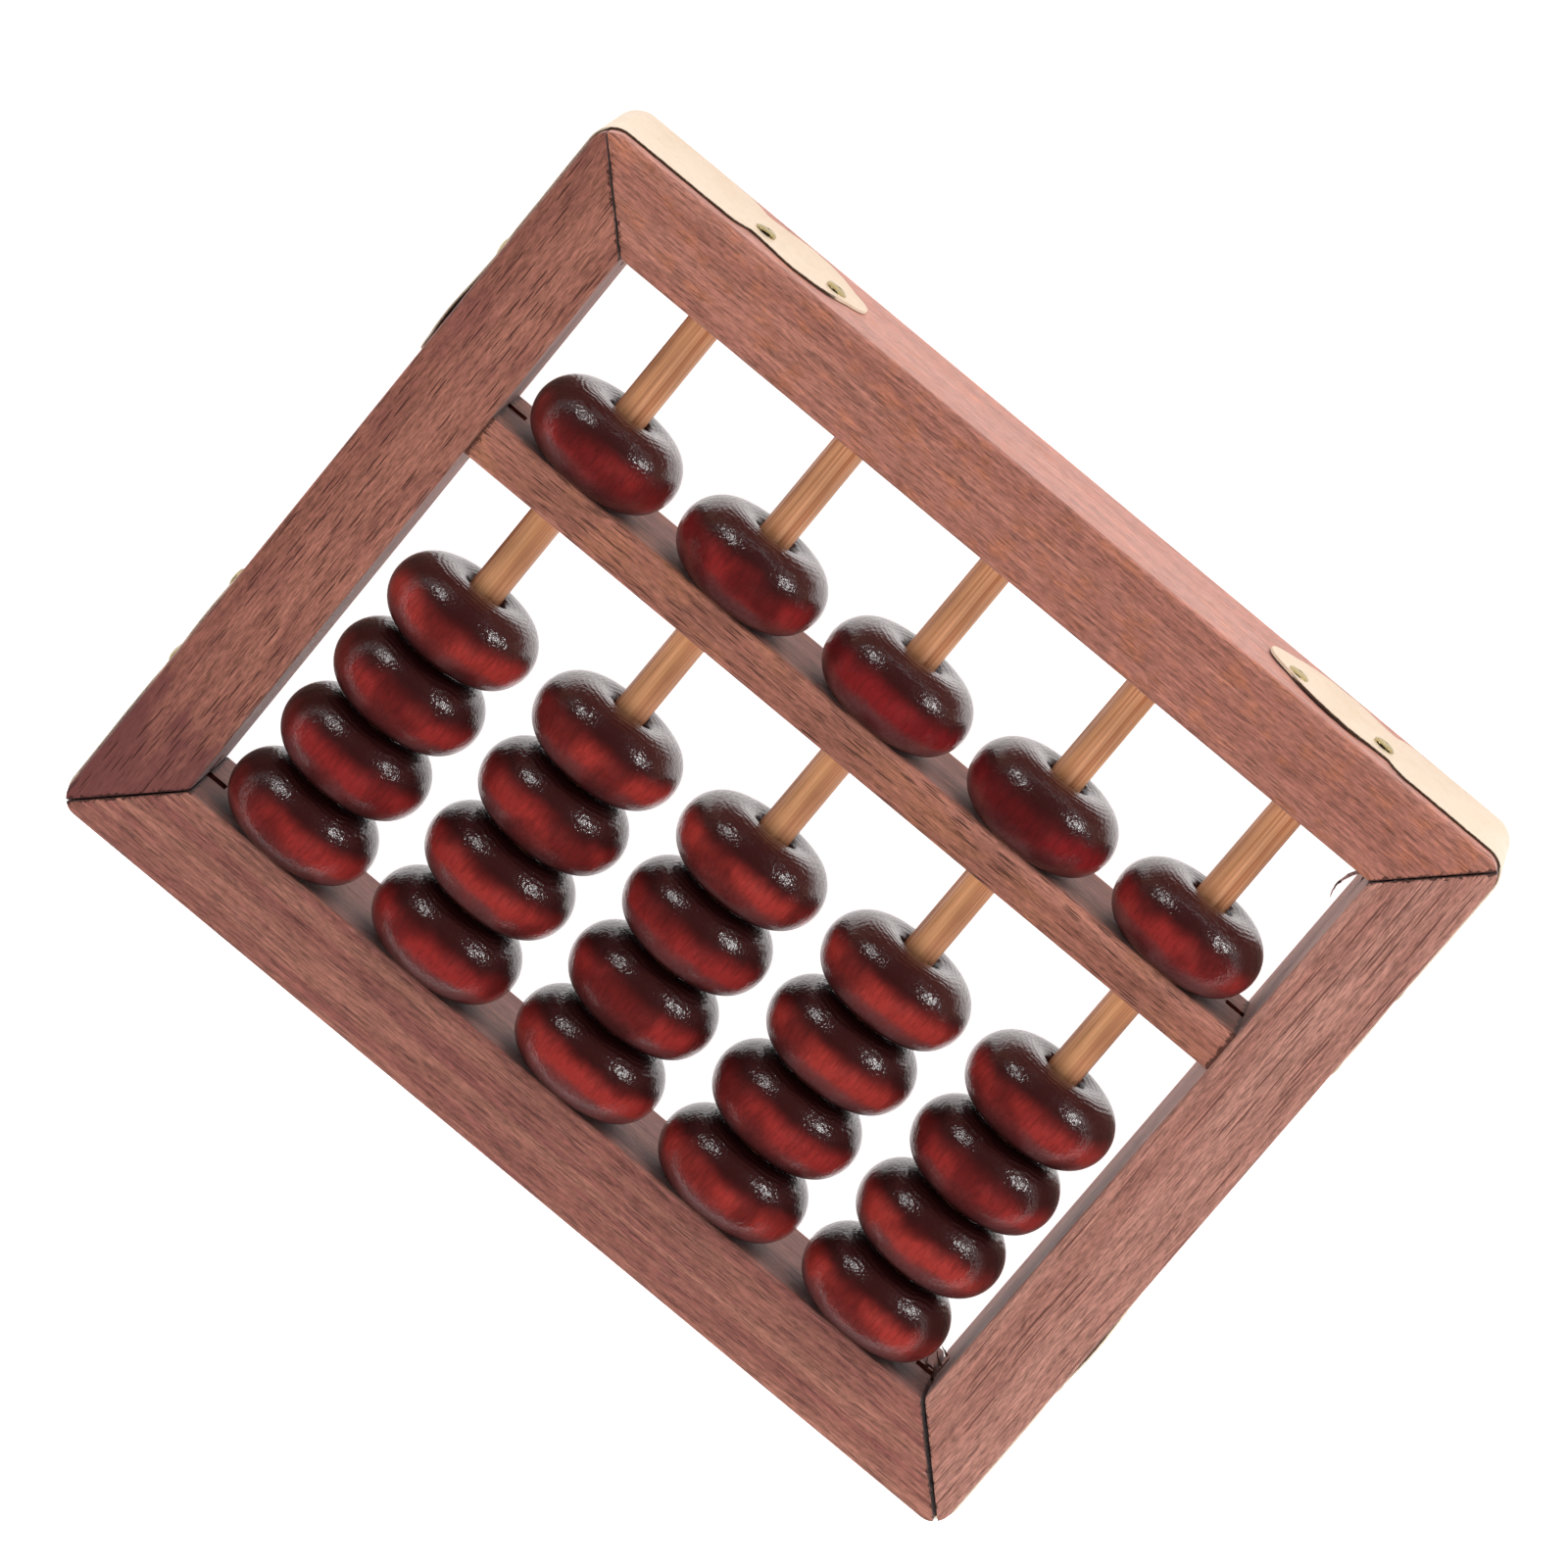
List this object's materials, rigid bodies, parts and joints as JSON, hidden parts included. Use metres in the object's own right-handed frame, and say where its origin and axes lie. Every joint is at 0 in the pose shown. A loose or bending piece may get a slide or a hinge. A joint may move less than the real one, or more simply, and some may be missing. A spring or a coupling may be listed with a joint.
{
  "type": "abacus",
  "caption": "Small wooden abacus: dark red ring beads slide on bamboo rods in a mitred frame with a cross beam and brass corner straps.",
  "frame": {"origin": "middle of the frame's underside, halfway between the side rails and between the lower and upper rails", "axes": "+Z out of the face, +X from the first rod to the last, +Y along the rods from the lower rail to the upper rail"},
  "size_m": [0.1184, 0.0924, 0.0234],
  "materials": {
    "rail_wood": "reddish-brown hardwood with open pores under a thin worn varnish",
    "beam_wood": "orange-brown hardwood with dark pore lines under a thin worn varnish",
    "spline_wood": "plain sawn wood, hidden in the joints",
    "bamboo": "polished bamboo with lengthwise fibres",
    "bead_lacquer": "turned wood under glossy dark red lacquer",
    "strap_brass": "thin pale brass sheet, lightly brushed and dulled",
    "nail_brass": "small domed brass nails"
  },
  "bodies": {
    "frame": {"rail_top": "rail_wood", "rail_left": "rail_wood", "rail_bottom": "rail_wood", "rail_right": "rail_wood", "beam": "beam_wood", "beam_tongue_left": "spline_wood", "beam_tongue_right": "spline_wood", "mitre_spline_top_right": "spline_wood", "mitre_spline_top_left": "spline_wood", "mitre_spline_bottom_left": "spline_wood", "mitre_spline_bottom_right": "spline_wood", "strap_top_right": "strap_brass", "strap_top_left": "strap_brass", "strap_bottom_left": "strap_brass", "strap_bottom_right": "strap_brass", "nails_top_right": "nail_brass", "nails_top_left": "nail_brass", "nails_bottom_left": "nail_brass", "nails_bottom_right": "nail_brass", "rod_1": "bamboo", "rod_2": "bamboo", "rod_3": "bamboo", "rod_4": "bamboo", "rod_5": "bamboo"},
    "upper_bead_1": {"upper_bead_1": "bead_lacquer"},
    "upper_bead_2": {"upper_bead_2": "bead_lacquer"},
    "upper_bead_3": {"upper_bead_3": "bead_lacquer"},
    "upper_bead_4": {"upper_bead_4": "bead_lacquer"},
    "upper_bead_5": {"upper_bead_5": "bead_lacquer"},
    "lower_bead_1_1": {"lower_bead_1_1": "bead_lacquer"},
    "lower_bead_1_2": {"lower_bead_1_2": "bead_lacquer"},
    "lower_bead_1_3": {"lower_bead_1_3": "bead_lacquer"},
    "lower_bead_1_4": {"lower_bead_1_4": "bead_lacquer"},
    "lower_bead_2_1": {"lower_bead_2_1": "bead_lacquer"},
    "lower_bead_2_2": {"lower_bead_2_2": "bead_lacquer"},
    "lower_bead_2_3": {"lower_bead_2_3": "bead_lacquer"},
    "lower_bead_2_4": {"lower_bead_2_4": "bead_lacquer"},
    "lower_bead_3_1": {"lower_bead_3_1": "bead_lacquer"},
    "lower_bead_3_2": {"lower_bead_3_2": "bead_lacquer"},
    "lower_bead_3_3": {"lower_bead_3_3": "bead_lacquer"},
    "lower_bead_3_4": {"lower_bead_3_4": "bead_lacquer"},
    "lower_bead_4_1": {"lower_bead_4_1": "bead_lacquer"},
    "lower_bead_4_2": {"lower_bead_4_2": "bead_lacquer"},
    "lower_bead_4_3": {"lower_bead_4_3": "bead_lacquer"},
    "lower_bead_4_4": {"lower_bead_4_4": "bead_lacquer"},
    "lower_bead_5_1": {"lower_bead_5_1": "bead_lacquer"},
    "lower_bead_5_2": {"lower_bead_5_2": "bead_lacquer"},
    "lower_bead_5_3": {"lower_bead_5_3": "bead_lacquer"},
    "lower_bead_5_4": {"lower_bead_5_4": "bead_lacquer"}
  },
  "joints": [
    {"name": "upper_bead_1_slide", "type": "slide", "parent": "frame", "child": "upper_bead_1", "axis": [0, 1, 0], "range_m": [0, 0.0119]},
    {"name": "upper_bead_2_slide", "type": "slide", "parent": "frame", "child": "upper_bead_2", "axis": [0, 1, 0], "range_m": [0, 0.0119]},
    {"name": "upper_bead_3_slide", "type": "slide", "parent": "frame", "child": "upper_bead_3", "axis": [0, 1, 0], "range_m": [0, 0.0119]},
    {"name": "upper_bead_4_slide", "type": "slide", "parent": "frame", "child": "upper_bead_4", "axis": [0, 1, 0], "range_m": [0, 0.0119]},
    {"name": "upper_bead_5_slide", "type": "slide", "parent": "frame", "child": "upper_bead_5", "axis": [0, 1, 0], "range_m": [0, 0.0119]},
    {"name": "lower_bead_1_1_slide", "type": "slide", "parent": "frame", "child": "lower_bead_1_1", "axis": [0, 1, 0], "range_m": [0, 0.0099]},
    {"name": "lower_bead_1_2_slide", "type": "slide", "parent": "frame", "child": "lower_bead_1_2", "axis": [0, 1, 0], "range_m": [0, 0.0099]},
    {"name": "lower_bead_1_3_slide", "type": "slide", "parent": "frame", "child": "lower_bead_1_3", "axis": [0, 1, 0], "range_m": [0, 0.0099]},
    {"name": "lower_bead_1_4_slide", "type": "slide", "parent": "frame", "child": "lower_bead_1_4", "axis": [0, 1, 0], "range_m": [0, 0.0099]},
    {"name": "lower_bead_2_1_slide", "type": "slide", "parent": "frame", "child": "lower_bead_2_1", "axis": [0, 1, 0], "range_m": [0, 0.0099]},
    {"name": "lower_bead_2_2_slide", "type": "slide", "parent": "frame", "child": "lower_bead_2_2", "axis": [0, 1, 0], "range_m": [0, 0.0099]},
    {"name": "lower_bead_2_3_slide", "type": "slide", "parent": "frame", "child": "lower_bead_2_3", "axis": [0, 1, 0], "range_m": [0, 0.0099]},
    {"name": "lower_bead_2_4_slide", "type": "slide", "parent": "frame", "child": "lower_bead_2_4", "axis": [0, 1, 0], "range_m": [0, 0.0099]},
    {"name": "lower_bead_3_1_slide", "type": "slide", "parent": "frame", "child": "lower_bead_3_1", "axis": [0, 1, 0], "range_m": [0, 0.0099]},
    {"name": "lower_bead_3_2_slide", "type": "slide", "parent": "frame", "child": "lower_bead_3_2", "axis": [0, 1, 0], "range_m": [0, 0.0099]},
    {"name": "lower_bead_3_3_slide", "type": "slide", "parent": "frame", "child": "lower_bead_3_3", "axis": [0, 1, 0], "range_m": [0, 0.0099]},
    {"name": "lower_bead_3_4_slide", "type": "slide", "parent": "frame", "child": "lower_bead_3_4", "axis": [0, 1, 0], "range_m": [0, 0.0099]},
    {"name": "lower_bead_4_1_slide", "type": "slide", "parent": "frame", "child": "lower_bead_4_1", "axis": [0, 1, 0], "range_m": [0, 0.0099]},
    {"name": "lower_bead_4_2_slide", "type": "slide", "parent": "frame", "child": "lower_bead_4_2", "axis": [0, 1, 0], "range_m": [0, 0.0099]},
    {"name": "lower_bead_4_3_slide", "type": "slide", "parent": "frame", "child": "lower_bead_4_3", "axis": [0, 1, 0], "range_m": [0, 0.0099]},
    {"name": "lower_bead_4_4_slide", "type": "slide", "parent": "frame", "child": "lower_bead_4_4", "axis": [0, 1, 0], "range_m": [0, 0.0099]},
    {"name": "lower_bead_5_1_slide", "type": "slide", "parent": "frame", "child": "lower_bead_5_1", "axis": [0, 1, 0], "range_m": [0, 0.0099]},
    {"name": "lower_bead_5_2_slide", "type": "slide", "parent": "frame", "child": "lower_bead_5_2", "axis": [0, 1, 0], "range_m": [0, 0.0099]},
    {"name": "lower_bead_5_3_slide", "type": "slide", "parent": "frame", "child": "lower_bead_5_3", "axis": [0, 1, 0], "range_m": [0, 0.0099]},
    {"name": "lower_bead_5_4_slide", "type": "slide", "parent": "frame", "child": "lower_bead_5_4", "axis": [0, 1, 0], "range_m": [0, 0.0099]}
  ],
  "couplings": [
    {"joint": "lower_bead_1_2_slide", "follows": "lower_bead_1_1_slide", "ratio": 1},
    {"joint": "lower_bead_1_3_slide", "follows": "lower_bead_1_1_slide", "ratio": 1},
    {"joint": "lower_bead_1_4_slide", "follows": "lower_bead_1_1_slide", "ratio": 1},
    {"joint": "lower_bead_2_2_slide", "follows": "lower_bead_2_1_slide", "ratio": 1},
    {"joint": "lower_bead_2_3_slide", "follows": "lower_bead_2_1_slide", "ratio": 1},
    {"joint": "lower_bead_2_4_slide", "follows": "lower_bead_2_1_slide", "ratio": 1},
    {"joint": "lower_bead_3_2_slide", "follows": "lower_bead_3_1_slide", "ratio": 1},
    {"joint": "lower_bead_3_3_slide", "follows": "lower_bead_3_1_slide", "ratio": 1},
    {"joint": "lower_bead_3_4_slide", "follows": "lower_bead_3_1_slide", "ratio": 1},
    {"joint": "lower_bead_4_2_slide", "follows": "lower_bead_4_1_slide", "ratio": 1},
    {"joint": "lower_bead_4_3_slide", "follows": "lower_bead_4_1_slide", "ratio": 1},
    {"joint": "lower_bead_4_4_slide", "follows": "lower_bead_4_1_slide", "ratio": 1},
    {"joint": "lower_bead_5_2_slide", "follows": "lower_bead_5_1_slide", "ratio": 1},
    {"joint": "lower_bead_5_3_slide", "follows": "lower_bead_5_1_slide", "ratio": 1},
    {"joint": "lower_bead_5_4_slide", "follows": "lower_bead_5_1_slide", "ratio": 1}
  ]
}
